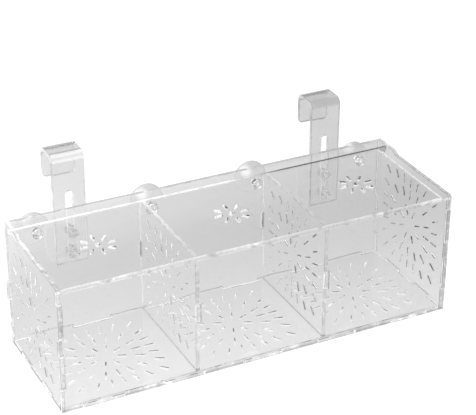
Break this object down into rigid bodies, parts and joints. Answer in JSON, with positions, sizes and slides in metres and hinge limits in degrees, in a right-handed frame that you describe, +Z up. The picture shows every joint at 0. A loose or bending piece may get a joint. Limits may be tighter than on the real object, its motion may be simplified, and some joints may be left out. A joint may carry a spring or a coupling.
{
  "type": "fish breeding box",
  "caption": "Clear acrylic fish breeding box with slotted walls and floor, cells under a hinged vented lid, sliding clamp-screw hooks and suction cups for hanging it in a tank.",
  "frame": {"origin": "centre of the floor's underside", "axes": "+X along the box to the right, +Y to the tank wall that the hooks hang on, +Z up"},
  "size_m": [0.3028, 0.12, 0.138],
  "materials": {
    "clear_acrylic": "clear, flame-polished sheet",
    "clear_hook_acrylic": "clear, heat-bent sheet",
    "clear_nylon": "translucent moulded",
    "clear_vinyl": "clear, soft and glossy"
  },
  "bodies": {
    "box": {"floor_panel": "clear_acrylic", "front_panel": "clear_acrylic", "back_panel": "clear_acrylic", "left_end_panel": "clear_acrylic", "right_end_panel": "clear_acrylic", "left_divider": "clear_acrylic", "right_divider": "clear_acrylic", "hook_screw_left_upper": "clear_nylon", "hook_screw_left_lower": "clear_nylon", "hook_screw_right_upper": "clear_nylon", "hook_screw_right_lower": "clear_nylon", "suction_cup_left_outer": "clear_vinyl", "suction_cup_left_inner": "clear_vinyl", "suction_cup_right_inner": "clear_vinyl", "suction_cup_right_outer": "clear_vinyl"},
    "lid": {"lid": "clear_acrylic"},
    "left_hook": {"hook_left": "clear_hook_acrylic"},
    "right_hook": {"hook_right": "clear_hook_acrylic"},
    "left_upper_nut": {"hook_nut_left_upper": "clear_nylon"},
    "left_lower_nut": {"hook_nut_left_lower": "clear_nylon"},
    "right_upper_nut": {"hook_nut_right_upper": "clear_nylon"},
    "right_lower_nut": {"hook_nut_right_lower": "clear_nylon"}
  },
  "joints": [
    {"name": "lid_hinge", "type": "hinge", "parent": "box", "child": "lid", "pos_m": [0, 0.0392, 0.0935], "axis": [-1, 0, 0], "range_deg": [0, 98]},
    {"name": "left_hook_slide", "type": "slide", "parent": "box", "child": "left_hook", "axis": [0, 0, 1], "range_m": [-0.03, 0.0015]},
    {"name": "right_hook_slide", "type": "slide", "parent": "box", "child": "right_hook", "axis": [0, 0, 1], "range_m": [-0.03, 0.0015]},
    {"name": "left_upper_nut_turn", "type": "hinge", "parent": "box", "child": "left_upper_nut", "pos_m": [-0.10155, 0.0526, 0.076], "axis": [0, 1, 0], "range_deg": [0, 360]},
    {"name": "left_lower_nut_turn", "type": "hinge", "parent": "box", "child": "left_lower_nut", "pos_m": [-0.10155, 0.0526, 0.06], "axis": [0, 1, 0], "range_deg": [0, 360]},
    {"name": "right_upper_nut_turn", "type": "hinge", "parent": "box", "child": "right_upper_nut", "pos_m": [0.10155, 0.0526, 0.076], "axis": [0, 1, 0], "range_deg": [0, 360]},
    {"name": "right_lower_nut_turn", "type": "hinge", "parent": "box", "child": "right_lower_nut", "pos_m": [0.10155, 0.0526, 0.06], "axis": [0, 1, 0], "range_deg": [0, 360]}
  ]
}
